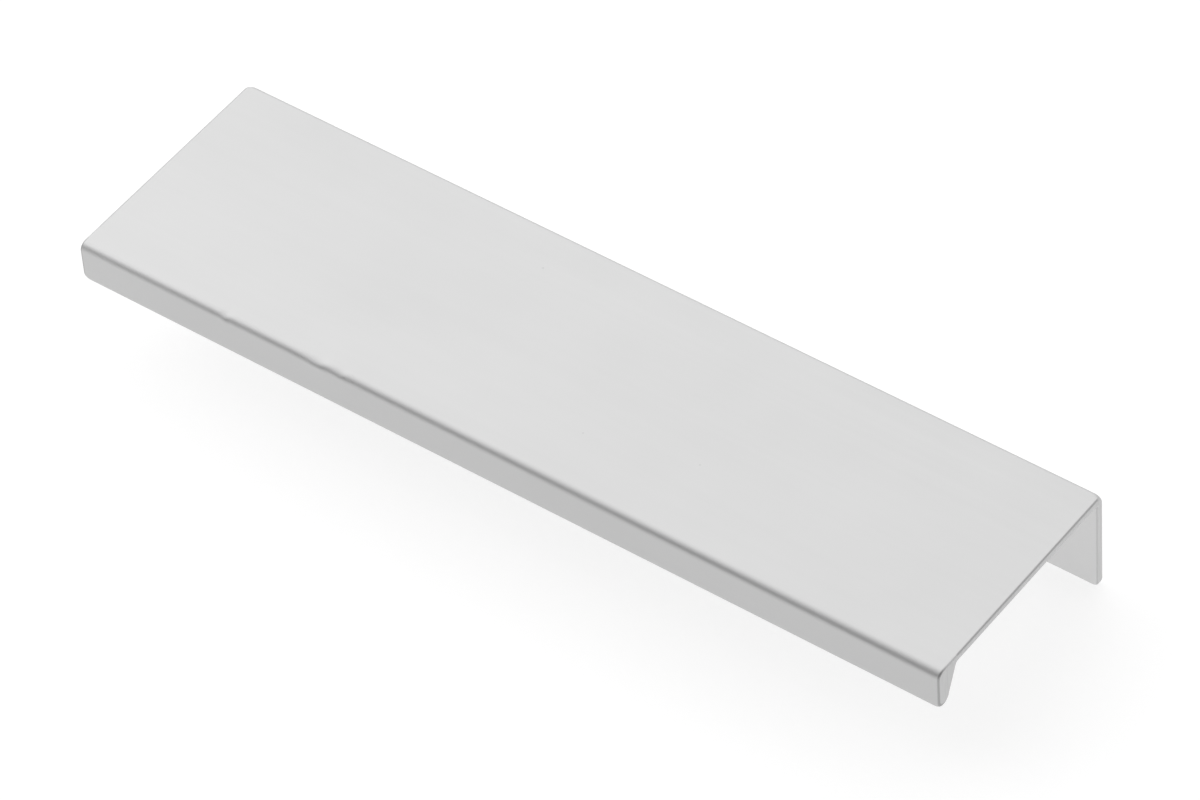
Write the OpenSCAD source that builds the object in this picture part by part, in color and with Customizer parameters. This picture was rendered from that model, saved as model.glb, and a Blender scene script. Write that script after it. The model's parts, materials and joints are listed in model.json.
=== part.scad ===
// Edge handle for a door or drawer front, cut from one extruded aluminium profile.
// The top plate lies on the panel's top edge, the flange is screwed to the panel's back
// and the lip hangs over the front as the finger grip.
// X runs along the panel's edge, -Y is the room side and +Z is up. The origin is midway
// between the two screw holes, on the flange's face that lies against the panel.

/* [Profile] */
// Length of the cut profile along the panel's edge (mm)
length = 150; // [140:1:300]
// Depth from the lip's outer face to the flange's outer face (mm)
depth = 40; // [30:0.5:60]
// Thickness of the top plate (mm)
plate_t = 1.2; // [1:0.1:2]

/* [Lip] */
// Height of the lip from the plate's top to the nose (mm)
lip_h = 7.4; // [5.5:0.1:12]
// Thickness of the lip where it meets the plate's underside (mm)
lip_root = 4.3; // [3.5:0.1:6]
// Radius of the lip's round nose (mm)
nose_r = 1.2; // [0.8:0.05:1.4]
// Radius along the front top edge (mm)
front_r = 1.3; // [0.4:0.1:1.8]
// Radius in the corner between the lip and the plate (mm)
root_r = 0.5; // [0.4:0.1:1]

/* [Flange] */
// Height of the flange from the plate's top to its lower edge (mm)
flange_h = 18; // [16:0.5:40]
// Thickness of the flange (mm)
flange_t = 1.3; // [1.2:0.1:2]
// Outside radius of the corner between the plate and the flange (mm)
bend_r = 0.75; // [0.4:0.05:1.2]
// Inside radius of that corner (mm)
bend_fillet = 0.5; // [0.4:0.1:1]
// Radius on both sides of the flange's lower edge (mm)
lower_r = 0.4; // [0.35:0.05:0.55]
// Radius of the flange's lower corners at both ends (mm)
corner_r = 1; // [0.5:0.1:2]

/* [Screw holes] */
// Distance between the two screw holes (mm)
hole_pitch = 128; // [64:32:128]
// Diameter of a screw hole (mm)
hole_d = 4.2; // [3.6:0.1:4.6]
// Distance from the plate's underside down to the hole axis (mm)
hole_drop = 9; // [7:0.5:11]
// Diameter of the countersink on the flange's outer face (mm)
sink_d = 6; // [5.2:0.1:6.2]

/* [Ends] */
// Bevel on the edges of both cut ends (mm)
end_bevel = 0.3; // [0.1:0.05:0.3]

/* [Hidden] */
$fn = 96;
// how far a cutting tool runs past the face it cuts
past = 0.05;

// levels and faces of the profile, in the (y, z) plane
under_z = hole_drop;
top_z = under_z + plate_t;
flange_low_z = top_z - flange_h;
lip_low_z = top_z - lip_h;
back_y = flange_t;
front_y = back_y - depth;

// The lip's inner face runs from its root at the plate so that it just touches the nose.
root = [front_y + lip_root, under_z];
nose = [front_y + nose_r, lip_low_z + nose_r];
nose_gap = root - nose;
lean = atan2(nose_gap.x, nose_gap.y) - asin(nose_r / norm(nose_gap));
// where the inner face would meet the outer one without the nose
lip_tip = [front_y, under_z - lip_root / tan(lean)];

// Corners of the profile as [point, radius], anticlockwise, before they are rounded
CORNERS = [
    [[0, flange_low_z], lower_r],
    [[back_y, flange_low_z], lower_r],
    [[back_y, top_z], bend_r],
    [[front_y, top_z], front_r],
    [lip_tip, nose_r],
    [root, root_r],
    [[0, under_z], bend_fillet],
];
COUNT = len(CORNERS);

function corner(i) = CORNERS[(i + COUNT) % COUNT][0];
function radius(i) = CORNERS[(i + COUNT) % COUNT][1];
function unit(v) = v / norm(v);
function heading(v) = atan2(v.y, v.x);
function turn(a, b) = a.x * b.y - a.y * b.x;
function back(i) = unit(corner(i - 1) - corner(i));
function ahead(i) = unit(corner(i + 1) - corner(i));
function half(i) = acos(back(i) * ahead(i)) / 2;
function outer(i) = turn(-back(i), ahead(i)) > 0;
// where the round of corner i starts and ends, and the middle of its arc
function start(i) = corner(i) + back(i) * radius(i) / tan(half(i));
function finish(i) = corner(i) + ahead(i) * radius(i) / tan(half(i));
function middle(i) = corner(i) + unit(back(i) + ahead(i)) * radius(i) / sin(half(i));

// Pie slice that rounds corner i of the profile
module slice(i) {
    intersection() {
        translate(middle(i))
            circle(r = radius(i));
        polygon([start(i), corner(i), finish(i), middle(i)]);
    }
}

// Section of the profile
module section() {
    difference() {
        union() {
            polygon([for (i = [0 : COUNT - 1]) each [start(i), finish(i)]]);
            for (i = [0 : COUNT - 1])
                if (outer(i))
                    slice(i);
        }
        for (i = [0 : COUNT - 1])
            if (!outer(i))
                slice(i);
    }
}

// Lays a shape drawn in (y, z) into the profile's plane, with its height along X
module along_x() {
    rotate([90, 0, 90])
        children();
}

// Triangle that takes the bevel off an edge: x across the edge, y along the profile's length.
// The face it cuts is at x = face, and side says which way the metal lies from there.
module bevel_tool(face, side) {
    polygon([
        [face - side * past, -end_bevel - past],
        [face - side * past, past],
        [face + side * (end_bevel + past), past],
    ]);
}

// Bevel on the straight edge from corner i to the next one
module straight_bevel(i) {
    run = start(i + 1) - finish(i);
    translate(finish(i))
        rotate([90, 0, heading(run) + 90])
            linear_extrude(height = norm(run))
                bevel_tool(0, 1);
}

// Bevel on the rounded edge of corner i
module round_bevel(i) {
    from = heading((outer(i) ? start(i) : finish(i)) - middle(i));
    translate(middle(i))
        rotate([0, 0, from])
            rotate_extrude(angle = 180 - 2 * half(i))
                bevel_tool(radius(i), outer(i) ? -1 : 1);
}

// Bevel right round the end of the profile that lies at z = 0
module end_cut() {
    for (i = [0 : COUNT - 1]) {
        straight_bevel(i);
        round_bevel(i);
    }
}

// Rounds the flange's lower corner at the +X end and carries the bevel round it on both faces
module flange_corner() {
    translate([length / 2 - corner_r, 0, flange_low_z + corner_r])
        rotate([-90, 0, 0]) {
            translate([0, 0, -past])
                linear_extrude(height = flange_t + 2 * past)
                    difference() {
                        square(corner_r + past);
                        circle(r = corner_r);
                    }
            translate([0, 0, flange_t])
                corner_bevel();
            mirror([0, 0, 1])
                corner_bevel();
        }
}

// Bevel on the flange's rounded corner, for the face that lies at z = 0
module corner_bevel() {
    rotate_extrude(angle = 90)
        bevel_tool(corner_r, -1);
}

// Countersunk screw hole through the flange, with its mouth on the outer face
module screw_hole() {
    sink_depth = (sink_d - hole_d) / 2;
    rotate([-90, 0, 0]) {
        translate([0, 0, -past])
            cylinder(d = hole_d, h = flange_t + 2 * past);
        translate([0, 0, flange_t - sink_depth])
            cylinder(d1 = hole_d, d2 = sink_d + 2 * past, h = sink_depth + past);
    }
}

// A shape and its mirror image at the profile's other end
module both_ends() {
    children();
    mirror([1, 0, 0])
        children();
}

module handle() {
    color([0.86, 0.86, 0.86])
        difference() {
            along_x()
                linear_extrude(height = length, center = true)
                    section();
            both_ends()
                translate([length / 2, 0, 0])
                    along_x()
                        end_cut();
            both_ends()
                flange_corner();
            both_ends()
                translate([hole_pitch / 2, 0, 0])
                    screw_hole();
        }
}

handle();
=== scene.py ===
"""Aluminium edge handle: the swept profile with its satin finish, and a studio stage for it.

The handle is one extruded profile. Its section is drawn in (y, z), swept along X, rounded at the
cut ends, marked by three small knocks on the front edge and drilled for two countersunk screws.
"""

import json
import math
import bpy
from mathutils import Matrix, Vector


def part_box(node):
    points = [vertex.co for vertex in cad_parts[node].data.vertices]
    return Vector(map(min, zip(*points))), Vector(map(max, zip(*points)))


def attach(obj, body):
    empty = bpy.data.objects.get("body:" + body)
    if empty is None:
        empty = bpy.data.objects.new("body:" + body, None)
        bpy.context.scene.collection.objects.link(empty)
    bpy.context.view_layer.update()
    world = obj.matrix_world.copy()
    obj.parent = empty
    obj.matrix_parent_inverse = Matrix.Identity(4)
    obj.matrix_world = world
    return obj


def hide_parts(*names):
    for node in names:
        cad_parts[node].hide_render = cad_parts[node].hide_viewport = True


bl_info = {
    "name": "Aluminium edge handle",
    "version": (1, 0, 0),
    "blender": (4, 5, 0),
    "location": "View3D > Sidebar > Edge handle",
    "description": "Makes an extruded edge handle with a satin finish, and a studio stage for it",
    "category": "Add Mesh",
}

import bpy
from mathutils import Matrix, Vector

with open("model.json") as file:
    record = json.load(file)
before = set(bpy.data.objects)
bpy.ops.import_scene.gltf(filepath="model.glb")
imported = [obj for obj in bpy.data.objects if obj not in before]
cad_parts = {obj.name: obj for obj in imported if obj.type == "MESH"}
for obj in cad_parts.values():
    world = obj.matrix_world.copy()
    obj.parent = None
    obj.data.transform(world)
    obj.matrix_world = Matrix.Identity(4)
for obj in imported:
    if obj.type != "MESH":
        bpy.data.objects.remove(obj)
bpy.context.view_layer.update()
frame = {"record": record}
LOW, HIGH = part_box("handle")
SCREWS = next(m for m in frame["record"]["mounts"] if m["name"] == "screw_holes")["dims"]


def size(name, description, default):
    """A length in metres that the panel shows in the scene's units."""
    return bpy.props.FloatProperty(
        name=name,
        description=description,
        default=default,
        min=0.0,
        precision=5,
        subtype="DISTANCE",
        unit="LENGTH",
    )


def share(name, description, default, top=1.0):
    """A plain number from nothing to top."""
    return bpy.props.FloatProperty(
        name=name, description=description, default=default, min=0.0, max=top, precision=3, subtype="FACTOR"
    )


def room_light(name, place, default):
    """The brightness of one of the room's soft lights."""
    return share(name, f"Brightness of the soft light {place}, on top of the room's", default, 4.0)


def turn(name, description, degrees):
    """An angle."""
    return bpy.props.FloatProperty(
        name=name, description=description, default=math.radians(degrees), subtype="ANGLE", unit="ROTATION"
    )


def colour(name, description, default):
    """A linear colour."""
    return bpy.props.FloatVectorProperty(
        name=name, description=description, default=default, size=3, min=0.0, max=1.0, subtype="COLOR"
    )


class EdgeHandleSizes(bpy.types.PropertyGroup):
    """Sizes of the profile, its cut ends and its screw holes."""

    length: size("Length", "Length of the cut profile", HIGH.x - LOW.x)
    depth: size("Depth", "From the lip's outer face to the flange's outer face", HIGH.y - LOW.y)
    flange_height: size("Flange height", "From the plate's top to the flange's lower edge", HIGH.z - LOW.z)
    flange_thickness: size("Flange thickness", "Thickness of the back flange", HIGH.y)
    plate_thickness: size("Plate thickness", "Thickness of the top plate", 0.0012)
    lip_height: size("Lip height", "From the plate's top to the lip's nose", 0.0074)
    lip_root: size("Lip root", "Thickness of the lip where it leaves the plate", 0.0043)
    nose_radius: size("Nose radius", "Radius of the lip's round nose", 0.0012)
    front_radius: size("Front radius", "Radius along the front top edge", 0.0013)
    root_radius: size("Root radius", "Radius in the corner between lip and plate", 0.0005)
    bend_radius: size("Back radius", "Outside radius between plate and flange", 0.00075)
    bend_fillet: size("Back fillet", "Inside radius between plate and flange", 0.0005)
    lower_radius: size("Lower radius", "Radius on the flange's lower edge", 0.0004)
    end_round: size("End round", "Radius on the edges of both cut ends", 0.00028)
    flange_corner: size("Flange corner", "Radius of the flange's lower corners at the ends", 0.001)
    lip_corner: size("Lip corner", "Radius of the lip's lower corners at the ends", 0.001)
    back_corner: size("Back corner", "Radius at which the back edge drops to the ends", 0.0012)
    back_reach: size("Back reach", "How far the back corners spread from the flange's outer face", 0.0011)
    knock_reach: size("Knock reach", "How far a knock spreads from the front edge", 0.0012)
    hole_spacing: size("Hole spacing", "Distance between the screw holes", SCREWS["spacing_x_mm"] / 1000)
    hole_diameter: size("Hole diameter", "Diameter of a screw hole", 2 * SCREWS["hole_r_mm"] / 1000)
    sink_diameter: size("Countersink", "Diameter of the countersink on the flange's outer face", 0.006)


class EdgeHandleFinish(bpy.types.PropertyGroup):
    """Satin anodised aluminium."""

    metal: colour("Metal", "Colour of the anodised metal", (0.62, 0.62, 0.62))
    roughness: share("Roughness", "How softly the metal reflects", 0.55)
    streaks: share("Streaks", "Strength of the drawn lines along the profile", 0.012)
    mottle: share("Mottle", "Strength of the slow unevenness of the finish", 0.02)
    grain: share("Grain", "Strength of the fine etched grain", 0.25)
    saw_marks: share("Saw marks", "Strength of the saw marks on the ends", 0.22)
    # painted light: makes the cut end faces a little lighter
    end_face_light: share("Cut face", "How much lighter the sawn ends are", 0.03)
    specks: share("Specks", "How much darker the specks on the plate are", 0.12)
    # painted shade: darkens the rounded edges of the cut ends, standing in for the dark line they reflect
    edge_shade: share("Cut edge", "How much darker the shaded edges of the ends are", 0.05)
    # painted shade: darkens those edges further on the lip's front, for the dark reflection line there
    corner_reflection_shade: share("Corner shading", "How much darker still they are on the lip's front", 0.27)
    # painted light: lightens the faces inside, standing in for the bright floor they reflect
    inside: share("Inside", "How much lighter the painted_light faces of plate and flange inside are", 0.18)


class EdgeHandleStage(bpy.types.PropertyGroup):
    """Floor, light and camera."""

    floor: colour("Floor", "Colour of the floor", (0.35, 0.35, 0.35))
    floor_glow: share("Floor glow", "White that the floor adds where it is seen", 0.76)
    room: share("Room", "Brightness of the room all round", 0.05)
    window: room_light("Window", "above the left end", 1.36)
    back_light: room_light("Back light", "low at the back", 0.63)
    side_light: room_light("Side light", "on the right", 0.32)
    fill_light: room_light("Fill light", "low in front", 0.36)
    box_power: bpy.props.FloatProperty(
        name="Soft box",
        description="Power of the soft box at the front left corner",
        default=0.42,
        min=0.0,
        unit="POWER",
    )
    box_width: size("Soft box width", "Width of the square soft box", 0.4)
    azimuth: turn("Azimuth", "Where the camera stands round the handle, from the front", 39.464)
    elevation: turn("Elevation", "How far the camera looks down", 46.252)
    roll: turn("Roll", "Turn of the camera about its own axis", 4.442)
    distance: size("Distance", "From the camera to the point it aims at", 1.01747)
    lens: bpy.props.FloatProperty(
        name="Lens", description="Focal length on a 36 mm sensor", default=215.683, subtype="DISTANCE_CAMERA"
    )


# A point in the middle of the handle that the camera aims at
AIM = Vector((0.002585, -0.017912, 0.004209))
# The room's soft lights: name of the brightness, towards the middle, cosine of the angle at the rim
ROOM_LIGHTS = (
    ("window", (-0.657, 0.293, 0.695), 0.5),
    ("back_light", (0.321, 0.883, 0.342), 0.2),
    ("side_light", (0.718, 0.541, 0.438), 0.6),
    ("fill_light", (0.683, -0.683, 0.259), 0.5),
)
# Where the soft box stands
SOFT_BOX = Vector((-0.321, -0.169, 0.277))
# Knocks on the front edge: place along X, length of the left and right flank, depth
KNOCKS = (
    (-0.0484, 0.0008, 0.0006, 0.00027),
    (-0.0315, 0.0023, 0.0009, 0.0003),
    (-0.0276, 0.0012, 0.0008, 0.0002),
)
# The way a knock pushes the edge: forward and down
KNOCK_PUSH = (0.0, -0.8, -0.6)
# Small specks on the plate: place in (x, y) and radius
SPECKS = (
    (-0.01602, -0.00579, 0.00022),
    (0.00801, -0.02879, 0.00020),
    (0.02526, -0.02475, 0.00020),
)


def put(tree, kind, settings=None, inputs=None):
    """Adds a node to the right of the last one. An input given as a socket is linked, any other is set."""
    node = tree.nodes.new(kind)
    node.location = (220 * (len(tree.nodes) - 1), 0)
    for name, value in (settings or {}).items():
        setattr(node, name, value)
    for name, value in (inputs or {}).items():
        if isinstance(value, bpy.types.NodeSocket):
            tree.links.new(value, node.inputs[name])
        else:
            node.inputs[name].default_value = value
    return node


def calc(tree, operation, *values):
    """A math node on sockets or numbers, and its result."""
    return put(tree, "ShaderNodeMath", {"operation": operation}, dict(enumerate(values))).outputs[0]


def scaled(tree, vector, amount):
    """A vector times a number, each a socket or plain."""
    return put(tree, "ShaderNodeVectorMath", {"operation": "SCALE"}, {0: vector, "Scale": amount}).outputs[0]


def ramp(tree, value, low, high):
    """From 0 at low to 1 at high with a soft start and end."""
    node = put(
        tree,
        "ShaderNodeMapRange",
        {"interpolation_type": "SMOOTHSTEP"},
        {"Value": value, "From Min": low, "From Max": high},
    )
    return node.outputs["Result"]


def section_corners(s):
    """Corners of the profile as (point, radius) in (y, z), anticlockwise, before they are rounded."""
    back, front = s.flange_thickness, s.flange_thickness - s.depth
    top = HIGH.z
    low = top - s.flange_height
    under = top - s.plate_thickness
    root = Vector((front + s.lip_root, under))
    nose = Vector((front + s.nose_radius, top - s.lip_height + s.nose_radius))
    gap = root - nose
    lean = math.atan2(gap.x, gap.y) - math.asin(s.nose_radius / gap.length)
    tip = Vector((front, under - s.lip_root / math.tan(lean)))
    return [
        (Vector((0.0, low)), s.lower_radius),
        (Vector((back, low)), s.lower_radius),
        (Vector((back, top)), s.bend_radius),
        (Vector((front, top)), s.front_radius),
        (tip, s.nose_radius),
        (root, s.root_radius),
        (Vector((0.0, under)), s.bend_fillet),
    ]


def section_outline(s):
    """The rounded section as (point, outward normal) in (y, z), anticlockwise."""
    corners = section_corners(s)
    count = len(corners)
    arcs = []
    for i, (here, radius) in enumerate(corners):
        back = (corners[i - 1][0] - here).normalized()
        ahead = (corners[(i + 1) % count][0] - here).normalized()
        half = back.angle(ahead) / 2
        middle = here + (back + ahead).normalized() * radius / math.sin(half)
        start = here + back * radius / math.tan(half)
        convex = back.x * ahead.y - back.y * ahead.x < 0
        sweep = (math.pi - 2 * half) * (1 if convex else -1)
        steps = max(6, round(abs(sweep) / math.radians(7.5)))
        spoke = start - middle
        arc = []
        for k in range(steps + 1):
            arm = Matrix.Rotation(sweep * k / steps, 2) @ spoke
            arc.append((middle + arm, arm.normalized() * (1 if convex else -1)))
        arcs.append(arc)
    outline = []
    for i, arc in enumerate(arcs):
        outline += arc
        first, last = arc[-1][0], arcs[(i + 1) % count][0][0]
        run = last - first
        normal = Vector((run.y, -run.x)).normalized()
        # points beside each round keep the flat faces flat, and the front edge has room for its knocks
        near = [0.00005]
        if run.length > 0.004 and i in (2, 3):
            near += [0.0003, 0.0006, 0.001, 0.0016, 0.0024]
        places = [d for d in near if d < run.length / 2]
        places += [run.length - d for d in reversed(places)]
        outline += [(first + run.normalized() * d, normal) for d in places]
    return outline


def clamped(t):
    """t, held between 0 and 1."""
    return min(1.0, max(0.0, t))


def ease(t):
    """From 0 to 1 with a soft start and end."""
    t = clamped(t)
    return t * t * (3 - 2 * t)


def section_mesh(s):
    """The section as a closed line of points with their outward normals and shares in corners and knocks."""
    outline = section_outline(s)
    corners = section_corners(s)
    flange_low, edge = corners[0][0].y, corners[3][0]
    root = corners[5][0]
    lip_low, lip_high = HIGH.z - s.lip_height + s.nose_radius, root.y - s.root_radius
    shares = {
        "front_edge": lambda p: math.exp(-(((p - edge).length / s.knock_reach) ** 2)),
        "back_edge": lambda p: -ease(1 - (HIGH.y - p.x) / s.back_reach) * (p.y > HIGH.z - s.lip_height),
        "flange_low": lambda p: float(p.y < flange_low + 2 * s.lower_radius),
        "lip_low": lambda p: clamped((lip_high - p.y) / (lip_high - lip_low)) * (p.x < root.x),
    }
    mesh = bpy.data.meshes.new("section")
    count = len(outline)
    # a swept curve lays its profile's x along -Y and its y along -Z
    points = [(-p.x, -p.y, 0.0) for p, _ in outline]
    mesh.from_pydata(points, [(i, (i + 1) % count) for i in range(count)], [])
    outward = mesh.attributes.new("outward", "FLOAT_VECTOR", "POINT")
    outward.data.foreach_set("vector", [c for _, n in outline for c in (0.0, n.x, n.y)])
    for name, share_at in shares.items():
        values = [share_at(p) for p, _ in outline]
        mesh.attributes.new(name, "FLOAT", "POINT").data.foreach_set("value", values)
    return mesh


def profile_tree():
    """Geometry nodes that sweep the section, round its ends, knock the front edge and drill the flange."""
    tree = bpy.data.node_groups.new("Swept edge profile", "GeometryNodeTree")
    names = ["Length", "End Round", "Flange Corner", "Lip Corner", "Back Corner"]
    names += ["Hole Spacing", "Hole Diameter", "Countersink Diameter", "Flange Thickness"]
    for i in range(len(KNOCKS)):
        names += [f"Knock {i + 1} {word}" for word in ("Place", "Left Flank", "Right Flank", "Depth")]
    tree.interface.new_socket("Geometry", in_out="INPUT", socket_type="NodeSocketGeometry")
    for name in names:
        tree.interface.new_socket(name, in_out="INPUT", socket_type="NodeSocketFloat").subtype = "DISTANCE"
    for name in ("Stations", "End Rings"):
        tree.interface.new_socket(name, in_out="INPUT", socket_type="NodeSocketInt")
    tree.interface.new_socket("Material", in_out="INPUT", socket_type="NodeSocketMaterial")
    tree.interface.new_socket("Geometry", in_out="OUTPUT", socket_type="NodeSocketGeometry")
    given = put(tree, "NodeGroupInput").outputs

    # stations along X: on a quarter circle over each end's round, close on its corners, even between
    index = put(tree, "GeometryNodeInputIndex").outputs[0]
    last = calc(tree, "SUBTRACT", given["Stations"], 1.0)
    rings = given["End Rings"]
    half = calc(tree, "MULTIPLY", given["Length"], 0.5)
    corner = calc(tree, "MAXIMUM", given["Flange Corner"], given["Lip Corner"])
    corner = calc(tree, "MAXIMUM", corner, given["Back Corner"])
    radius = given["End Round"]

    def stretch(steps, count):
        part = calc(tree, "DIVIDE", steps, count)
        return put(tree, "ShaderNodeClamp", None, {0: part}).outputs[0]

    past_rings = calc(tree, "MULTIPLY_ADD", rings, -2.0, index)
    between = stretch(past_rings, calc(tree, "MULTIPLY_ADD", rings, -4.0, last))
    across = calc(tree, "MULTIPLY_ADD", between, 2.0, -1.0)
    place = calc(tree, "MULTIPLY", calc(tree, "SUBTRACT", half, corner), across)
    inset = 0.0
    for outward, steps in ((-1.0, index), (1.0, calc(tree, "SUBTRACT", last, index))):
        quarter = calc(tree, "MULTIPLY", stretch(steps, rings), math.pi / 2)
        beside = calc(tree, "SUBTRACT", 1.0, stretch(calc(tree, "SUBTRACT", steps, rings), rings))
        reach = calc(tree, "MULTIPLY", beside, calc(tree, "SUBTRACT", corner, radius))
        reach = calc(tree, "MULTIPLY_ADD", calc(tree, "COSINE", quarter), radius, reach)
        place = calc(tree, "MULTIPLY_ADD", reach, outward, place)
        lost = calc(tree, "SUBTRACT", 1.0, calc(tree, "SINE", quarter))
        inset = calc(tree, "MULTIPLY_ADD", lost, radius, inset)

    rail = put(tree, "GeometryNodeCurvePrimitiveLine", None, {"Start": (-1, 0, 0), "End": (1, 0, 0)})
    rail = put(
        tree, "GeometryNodeResampleCurve", None, {"Curve": rail.outputs[0], "Count": given["Stations"]}
    )
    where = put(tree, "ShaderNodeCombineXYZ", None, {"X": place}).outputs[0]
    rail = put(tree, "GeometryNodeSetPosition", None, {"Geometry": rail.outputs[0], "Position": where})
    rail = put(
        tree,
        "GeometryNodeStoreNamedAttribute",
        {"data_type": "FLOAT", "domain": "POINT"},
        {"Geometry": rail.outputs[0], "Name": "inset", "Value": inset},
    )
    profile = put(tree, "GeometryNodeMeshToCurve", None, {"Mesh": given["Geometry"]})
    bar = put(
        tree,
        "GeometryNodeCurveToMesh",
        None,
        {"Curve": rail.outputs[0], "Profile Curve": profile.outputs[0], "Fill Caps": True},
    ).outputs[0]

    def named(name, data_type):
        node = put(tree, "GeometryNodeInputNamedAttribute", {"data_type": data_type}, {"Name": name})
        return node.outputs["Attribute"]

    def moved(geometry, offset):
        node = put(tree, "GeometryNodeSetPosition", None, {"Geometry": geometry, "Offset": offset})
        return node.outputs[0]

    # the ends' edges are drawn in along the section's own normals
    back_in = calc(tree, "MULTIPLY", named("inset", "FLOAT"), -1.0)
    bar = moved(bar, scaled(tree, named("outward", "FLOAT_VECTOR"), back_in))

    # towards the ends the low edges of flange and lip rise and the back edge drops, each round its corner
    x = put(
        tree, "ShaderNodeSeparateXYZ", None, {0: put(tree, "GeometryNodeInputPosition").outputs[0]}
    ).outputs["X"]
    corner_edges = {"Flange Corner": "flange_low", "Lip Corner": "lip_low", "Back Corner": "back_edge"}
    for name, edge in corner_edges.items():
        radius = given[name]
        past_arc = calc(tree, "SUBTRACT", calc(tree, "ABSOLUTE", x), calc(tree, "SUBTRACT", half, radius))
        across = calc(tree, "POWER", calc(tree, "MAXIMUM", past_arc, 0.0), 2.0)
        square = calc(tree, "SUBTRACT", calc(tree, "POWER", radius, 2.0), across)
        arc = calc(tree, "SQRT", calc(tree, "MAXIMUM", square, 0.0))
        lift = calc(tree, "MULTIPLY", calc(tree, "SUBTRACT", radius, arc), named(edge, "FLOAT"))
        bar = moved(bar, put(tree, "ShaderNodeCombineXYZ", None, {"Z": lift}).outputs[0])

    # each knock pushes the front edge, with a flank of its own length on either side
    pressed = 0.0
    for i in range(len(KNOCKS)):
        place, flank, other, depth = (
            given[f"Knock {i + 1} {word}"] for word in ("Place", "Left Flank", "Right Flank", "Depth")
        )
        away = calc(tree, "SUBTRACT", x, place)
        wider = calc(tree, "SUBTRACT", other, flank)
        width = calc(tree, "MULTIPLY_ADD", calc(tree, "GREATER_THAN", away, 0.0), wider, flank)
        bell = calc(tree, "MULTIPLY", calc(tree, "POWER", calc(tree, "DIVIDE", away, width), 2.0), -1.0)
        pressed = calc(tree, "MULTIPLY_ADD", calc(tree, "EXPONENT", bell), depth, pressed)
    pressed = calc(tree, "MULTIPLY", pressed, named("front_edge", "FLOAT"))
    bar = moved(bar, scaled(tree, KNOCK_PUSH, pressed))

    # a drill and a countersink for each screw; each runs a little past the faces that it cuts
    past = 0.00005
    thick = given["Flange Thickness"]
    radius = calc(tree, "MULTIPLY", given["Hole Diameter"], 0.5)
    sink = calc(tree, "SUBTRACT", calc(tree, "MULTIPLY", given["Countersink Diameter"], 0.5), radius)
    drill = put(
        tree,
        "GeometryNodeMeshCylinder",
        {"fill_type": "NGON"},
        {"Vertices": 64, "Radius": radius, "Depth": calc(tree, "MULTIPLY", thick, 2.0)},
    )
    cone = put(
        tree,
        "GeometryNodeMeshCone",
        {"fill_type": "NGON"},
        {
            "Vertices": 64,
            "Radius Bottom": calc(tree, "SUBTRACT", radius, past),
            "Radius Top": calc(tree, "ADD", calc(tree, "ADD", radius, sink), past),
            "Depth": calc(tree, "ADD", sink, 2 * past),
        },
    )
    middle = calc(tree, "MULTIPLY", thick, 0.5)
    tools = []
    deepest = calc(tree, "SUBTRACT", calc(tree, "SUBTRACT", thick, sink), past)
    for tool, height in ((drill, middle), (cone, deepest)):
        spot = put(tree, "ShaderNodeCombineXYZ", None, {"Y": height}).outputs[0]
        turned = put(
            tree,
            "GeometryNodeTransform",
            None,
            {"Geometry": tool.outputs["Mesh"], "Translation": spot, "Rotation": (-math.pi / 2, 0.0, 0.0)},
        )
        begin = put(
            tree, "ShaderNodeCombineXYZ", None, {"X": calc(tree, "MULTIPLY", given["Hole Spacing"], -0.5)}
        ).outputs[0]
        step = put(tree, "ShaderNodeCombineXYZ", None, {"X": given["Hole Spacing"]}).outputs[0]
        row = put(tree, "GeometryNodeMeshLine", None, {"Count": 2, "Start Location": begin, "Offset": step})
        pair = put(
            tree,
            "GeometryNodeInstanceOnPoints",
            None,
            {"Points": row.outputs[0], "Instance": turned.outputs[0]},
        )
        cutters = put(tree, "GeometryNodeRealizeInstances", None, {"Geometry": pair.outputs[0]})
        tools.append(cutters.outputs[0])
    for tool in tools:
        bar = put(
            tree,
            "GeometryNodeMeshBoolean",
            {"operation": "DIFFERENCE", "solver": "EXACT"},
            {"Mesh 1": bar, "Mesh 2": tool},
        ).outputs["Mesh"]
    # the cuts leave some points doubled
    doubled = 0.000001
    bar = put(tree, "GeometryNodeMergeByDistance", None, {"Geometry": bar, "Distance": doubled}).outputs[0]
    bar = put(tree, "GeometryNodeSetShadeSmooth", None, {"Geometry": bar}).outputs[0]
    bar = put(tree, "GeometryNodeRealizeInstances", None, {"Geometry": bar}).outputs[0]
    bar = put(tree, "GeometryNodeSetMaterial", None, {"Geometry": bar, "Material": given["Material"]})
    put(tree, "NodeGroupOutput", None, {"Geometry": bar.outputs[0]})
    return tree


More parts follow.
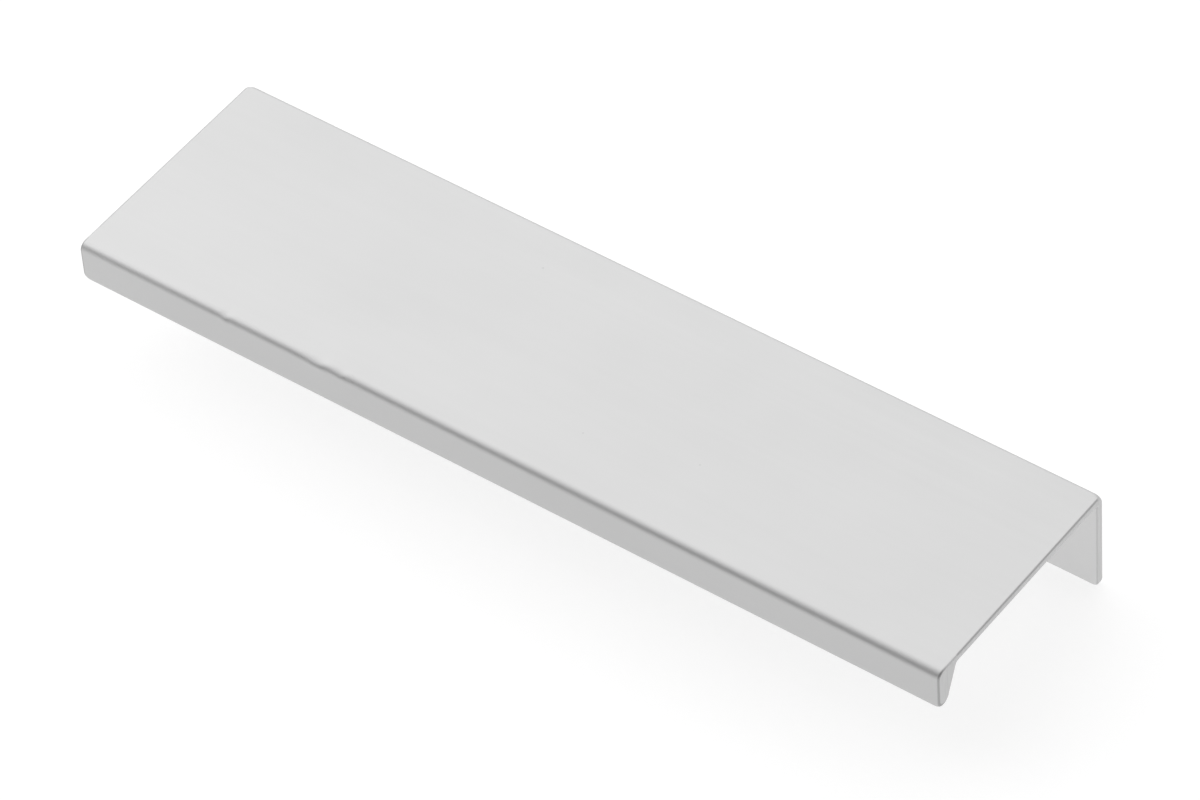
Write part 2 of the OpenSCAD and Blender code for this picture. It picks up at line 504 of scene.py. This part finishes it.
def satin_aluminium(finish, sizes):
    """Anodised aluminium with drawn lines, a grain, sawn ends and specks, with painted shade on the end
    edges, most on the lip's front, and painted light on the faces inside and on the cut faces.
    """
    material = bpy.data.materials.new("satin_aluminium")
    material.use_nodes = True
    tree = material.node_tree
    tree.nodes.clear()
    place = put(tree, "ShaderNodeTexCoord").outputs["Object"]

    def noise(scale, detail):
        mapped = put(tree, "ShaderNodeVectorMath", {"operation": "MULTIPLY"}, {0: place, 1: scale})
        node = put(
            tree,
            "ShaderNodeTexNoise",
            None,
            {"Vector": mapped.outputs[0], "Scale": 1.0, "Detail": detail, "Roughness": 0.55},
        )
        return calc(tree, "SUBTRACT", node.outputs[0], 0.5)

    # cells per metre along X, Y and Z
    drawn = noise((14.0, 1700.0, 1700.0), 3.0)
    mottle = noise((45.0, 70.0, 70.0), 2.0)
    grain = noise((5200.0, 5200.0, 5200.0), 2.0)
    sawn = noise((1.0, 2600.0, 130.0), 2.0)

    axes = put(tree, "ShaderNodeSeparateXYZ", None, {0: place}).outputs
    along = calc(tree, "ABSOLUTE", axes["X"])
    half = sizes.length / 2

    # the cut faces, the rounds beside them, and the part of those rounds on the lip's front; the rounds
    # carry painted shade and the cut faces painted light
    end = ramp(tree, along, half - 0.00004, half - 0.00001)

    def beside_end(rounds):
        reached = ramp(tree, along, half - rounds * sizes.end_round, half - 0.6 * sizes.end_round)
        return calc(tree, "MAXIMUM", calc(tree, "SUBTRACT", reached, end), 0.0)

    rim = beside_end(1.2)
    # painted shade on the lip's front corners: the rounds beside the ends there, for a dark reflection line
    front = calc(tree, "SUBTRACT", 1.0, ramp(tree, axes["Y"], LOW.y + 0.0006, LOW.y + 0.0025))
    painted_corner_shade = calc(tree, "MULTIPLY", beside_end(1.6), front)

    # painted light: the faces inside, the flange's inner face and, half as much, the plate's underside
    # behind the lip, are lightened for the bright floor they reflect
    under = HIGH.z - sizes.plate_thickness
    root = LOW.y + sizes.lip_root
    behind_lip = ramp(tree, axes["Y"], root, root + 0.0005)
    inside = calc(tree, "SUBTRACT", behind_lip, ramp(tree, axes["Y"], 0.0001, 0.0003))
    below = calc(tree, "SUBTRACT", 1.0, ramp(tree, axes["Z"], under - 0.0001, under + 0.0001))
    inside = calc(tree, "MULTIPLY", inside, calc(tree, "SUBTRACT", below, rim))

    specks = 0.0
    for x, y, radius in SPECKS:
        away = put(tree, "ShaderNodeVectorMath", {"operation": "DISTANCE"}, {0: place, 1: (x, y, HIGH.z)})
        spot = calc(tree, "SUBTRACT", 1.0, ramp(tree, away.outputs["Value"], 0.3 * radius, radius))
        specks = calc(tree, "ADD", spot, specks)

    side = calc(tree, "SUBTRACT", 1.0, end)
    lines = calc(tree, "MULTIPLY", drawn, side)
    sawn = calc(tree, "MULTIPLY", sawn, end)
    shade = calc(tree, "MULTIPLY_ADD", lines, finish.streaks, 1.0)
    shade = calc(tree, "MULTIPLY_ADD", mottle, finish.mottle, shade)
    shade = calc(tree, "MULTIPLY_ADD", sawn, finish.saw_marks, shade)
    # painted shade: a dark reflection line along the rounded edges of the cut ends
    shade = calc(tree, "MULTIPLY_ADD", rim, -finish.edge_shade, shade)
    # painted shade: a darker reflection line at the lip's front corners
    shade = calc(tree, "MULTIPLY_ADD", painted_corner_shade, -finish.corner_reflection_shade, shade)
    # painted light on the faces inside
    shade = calc(tree, "MULTIPLY_ADD", inside, finish.inside, shade)
    # painted light: the cut end faces a little lighter
    shade = calc(tree, "MULTIPLY_ADD", end, finish.end_face_light, shade)
    shade = calc(tree, "MULTIPLY_ADD", specks, -finish.specks, shade)
    tint = scaled(tree, tuple(finish.metal), shade)

    # the lines, the unevenness and the cut ends are a little rougher
    rough = calc(tree, "MULTIPLY_ADD", lines, 0.05, finish.roughness)
    rough = calc(tree, "MULTIPLY_ADD", mottle, 0.06, rough)
    rough = calc(tree, "MULTIPLY_ADD", end, 0.06, rough)

    # heights of the lines, the grain, the saw marks and the specks, as shares of the relief's depth
    depth = 0.00002
    relief = calc(tree, "MULTIPLY_ADD", lines, 0.3, calc(tree, "MULTIPLY", grain, 0.5))
    relief = calc(tree, "MULTIPLY_ADD", sawn, 1.2, relief)
    relief = calc(tree, "MULTIPLY_ADD", specks, -1.0, relief)
    bump = put(
        tree, "ShaderNodeBump", None, {"Height": relief, "Strength": finish.grain, "Distance": depth}
    )
    skin = put(
        tree,
        "ShaderNodeBsdfPrincipled",
        None,
        {"Base Color": tint, "Metallic": 1.0, "Roughness": rough, "Normal": bump.outputs[0]},
    )
    put(tree, "ShaderNodeOutputMaterial", None, {"Surface": skin.outputs[0]})
    return material


class EDGEHANDLE_OT_profile(bpy.types.Operator):
    """Makes the handle: one extruded profile with a plate, a lip and a drilled flange"""

    bl_idname = "edge_handle.profile"
    bl_label = "Make the handle"

    def execute(self, context):
        sizes, finish = context.scene.edge_handle_sizes, context.scene.edge_handle_finish
        draft = bpy.data.objects.new("handle_draft", section_mesh(sizes))
        context.scene.collection.objects.link(draft)
        tree = profile_tree()
        values = {
            "Length": sizes.length,
            "End Round": sizes.end_round,
            "Flange Corner": sizes.flange_corner,
            "Lip Corner": sizes.lip_corner,
            "Back Corner": sizes.back_corner,
            "Hole Spacing": sizes.hole_spacing,
            "Hole Diameter": sizes.hole_diameter,
            "Countersink Diameter": sizes.sink_diameter,
            "Flange Thickness": sizes.flange_thickness,
            "Stations": 481,
            "End Rings": 7,
            "Material": satin_aluminium(finish, sizes),
        }
        for i, knock in enumerate(KNOCKS):
            for word, value in zip(("Place", "Left Flank", "Right Flank", "Depth"), knock):
                values[f"Knock {i + 1} {word}"] = value
        sweep = draft.modifiers.new("Sweep", "NODES")
        sweep.node_group = tree
        for socket in tree.interface.items_tree:
            if socket.in_out == "INPUT" and socket.name in values:
                sweep[socket.identifier] = values[socket.name]
        mesh = bpy.data.meshes.new_from_object(draft.evaluated_get(context.evaluated_depsgraph_get()))
        draft.modifiers.remove(sweep)
        bpy.data.objects.remove(draft)
        mesh.name = "edge_handle"
        for name in ("outward", "front_edge", "back_edge", "flange_low", "lip_low", "inset"):
            if name in mesh.attributes:
                mesh.attributes.remove(mesh.attributes[name])
        mesh.set_sharp_from_angle(angle=math.radians(28))
        handle = bpy.data.objects.new("edge_handle", mesh)
        context.scene.collection.objects.link(handle)
        corners = [Vector(c) for c in handle.bound_box]
        off = max(min(abs(c[k] - LOW[k]), abs(c[k] - HIGH[k])) for c in corners for k in range(3))
        most = 0.0001
        if off > most:
            raise RuntimeError(f"the handle is {off * 1000:.2f} mm off its box")
        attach(handle, "root")
        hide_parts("handle")
        return {"FINISHED"}


def floor_mesh():
    """A round floor that rises softly at its rim, so that a low camera sees no edge."""
    flat, bend, lift = 2.0, 0.7, math.radians(46)
    turns, spokes = 10, 72
    rings = [(flat * share_out, 0.0) for share_out in (0.1, 0.4, 1.0)]
    for k in range(1, turns + 1):
        angle = lift * k / turns
        rings.append((flat + bend * math.sin(angle), bend * (1 - math.cos(angle))))
    points = [(0.0, 0.0, LOW.z)]
    for radius, rise in rings:
        for i in range(spokes):
            angle = 2 * math.pi * i / spokes
            points.append((radius * math.cos(angle), radius * math.sin(angle), LOW.z + rise))
    faces = [(0, 1 + i, 1 + (i + 1) % spokes) for i in range(spokes)]
    for ring in range(len(rings) - 1):
        inner, outer = 1 + ring * spokes, 1 + (ring + 1) * spokes
        for i in range(spokes):
            ahead = (i + 1) % spokes
            faces.append((inner + i, outer + i, outer + ahead, inner + ahead))
    mesh = bpy.data.meshes.new("floor")
    mesh.from_pydata(points, [], faces)
    mesh.shade_smooth()
    return mesh


def floor_material(stage):
    """A pale matt floor. Where it is seen, straight or in a reflection, it reads as white."""
    material = bpy.data.materials.new("pale_floor")
    material.use_nodes = True
    tree = material.node_tree
    tree.nodes.clear()
    matt = put(tree, "ShaderNodeBsdfDiffuse", None, {"Color": (*stage.floor, 1.0)})
    path = put(tree, "ShaderNodeLightPath").outputs
    seen = calc(tree, "MAXIMUM", path["Is Camera Ray"], path["Is Glossy Ray"])
    seen = calc(tree, "MAXIMUM", seen, path["Is Transmission Ray"])
    glow = calc(tree, "MULTIPLY", seen, stage.floor_glow)
    white = put(tree, "ShaderNodeEmission", None, {"Color": (1.0, 1.0, 1.0, 1.0), "Strength": glow})
    both = put(tree, "ShaderNodeAddShader", None, {0: matt.outputs[0], 1: white.outputs[0]})
    put(tree, "ShaderNodeOutputMaterial", None, {"Surface": both.outputs[0]})
    return material


def studio_world(stage):
    """A dim even room, a soft light above the left end, and weaker ones at the back, right and front."""
    world = bpy.data.worlds.new("studio")
    world.use_nodes = True
    tree = world.node_tree
    tree.nodes.clear()
    towards = put(tree, "ShaderNodeTexCoord").outputs["Generated"]
    level = stage.room
    for name, middle, rim in ROOM_LIGHTS:
        near = put(tree, "ShaderNodeVectorMath", {"operation": "DOT_PRODUCT"}, {0: towards, 1: middle})
        soft = ramp(tree, near.outputs["Value"], rim, 1.0)
        level = calc(tree, "MULTIPLY_ADD", soft, getattr(stage, name), level)
    sky = put(tree, "ShaderNodeBackground", None, {"Color": (1.0, 1.0, 1.0, 1.0), "Strength": level})
    put(tree, "ShaderNodeOutputWorld", None, {"Surface": sky.outputs[0]})
    return world


class EDGEHANDLE_OT_stage(bpy.types.Operator):
    """Makes the floor, the soft light and the camera"""

    bl_idname = "edge_handle.stage"
    bl_label = "Make the stage"

    def execute(self, context):
        scene, stage = context.scene, context.scene.edge_handle_stage
        mesh = floor_mesh()
        mesh.materials.append(floor_material(stage))
        floor = bpy.data.objects.new("floor", mesh)
        scene.collection.objects.link(floor)
        light = bpy.data.lights.new("soft_box", "AREA")
        light.size = stage.box_width
        light.energy = stage.box_power
        box = bpy.data.objects.new("soft_box", light)
        box.location = SOFT_BOX
        box.rotation_euler = (SOFT_BOX - AIM).to_track_quat("Z", "Y").to_euler()
        box.visible_camera = False
        scene.collection.objects.link(box)
        scene.world = studio_world(stage)
        scene.view_settings.view_transform = "Standard"

        data = bpy.data.cameras.new("photo_camera")
        data.sensor_width, data.lens = 36.0, stage.lens
        data.clip_start, data.clip_end = 0.01, 50.0
        flat = math.cos(stage.elevation)
        back = Vector(
            (math.sin(stage.azimuth) * flat, -math.cos(stage.azimuth) * flat, math.sin(stage.elevation))
        )
        right = Vector((0.0, 0.0, 1.0)).cross(back).normalized()
        turned = Matrix.Rotation(-stage.roll, 3, back)
        right = turned @ right
        up = back.cross(right)
        axes = Matrix((right, up, back)).transposed().to_4x4()
        camera = bpy.data.objects.new("photo_camera", data)
        camera.matrix_world = Matrix.Translation(AIM + back * stage.distance) @ axes
        scene.collection.objects.link(camera)
        scene.camera = camera
        return {"FINISHED"}


class EDGEHANDLE_PT_panel(bpy.types.Panel):
    """Sizes, finish and stage of the edge handle"""

    bl_idname = "EDGEHANDLE_PT_panel"
    bl_label = "Edge handle"
    bl_space_type = "VIEW_3D"
    bl_region_type = "UI"
    bl_category = "Edge handle"

    def draw(self, context):
        for operator, group in (
            ("edge_handle.profile", context.scene.edge_handle_sizes),
            (None, context.scene.edge_handle_finish),
            ("edge_handle.stage", context.scene.edge_handle_stage),
        ):
            column = self.layout.column(align=True)
            for name in group.bl_rna.properties.keys():
                if name not in ("rna_type", "name"):
                    column.prop(group, name)
            if operator:
                self.layout.operator(operator)


CLASSES = (
    EdgeHandleSizes,
    EdgeHandleFinish,
    EdgeHandleStage,
    EDGEHANDLE_OT_profile,
    EDGEHANDLE_OT_stage,
    EDGEHANDLE_PT_panel,
)
GROUPS = {
    "edge_handle_sizes": EdgeHandleSizes,
    "edge_handle_finish": EdgeHandleFinish,
    "edge_handle_stage": EdgeHandleStage,
}


def register():
    for cls in CLASSES:
        bpy.utils.register_class(cls)
    for name, group in GROUPS.items():
        setattr(bpy.types.Scene, name, bpy.props.PointerProperty(type=group))


def unregister():
    for name in GROUPS:
        delattr(bpy.types.Scene, name)
    for cls in reversed(CLASSES):
        bpy.utils.unregister_class(cls)


def main():
    register()
    bpy.ops.edge_handle.profile()
    bpy.ops.edge_handle.stage()


if __name__ == "__main__":
    main()
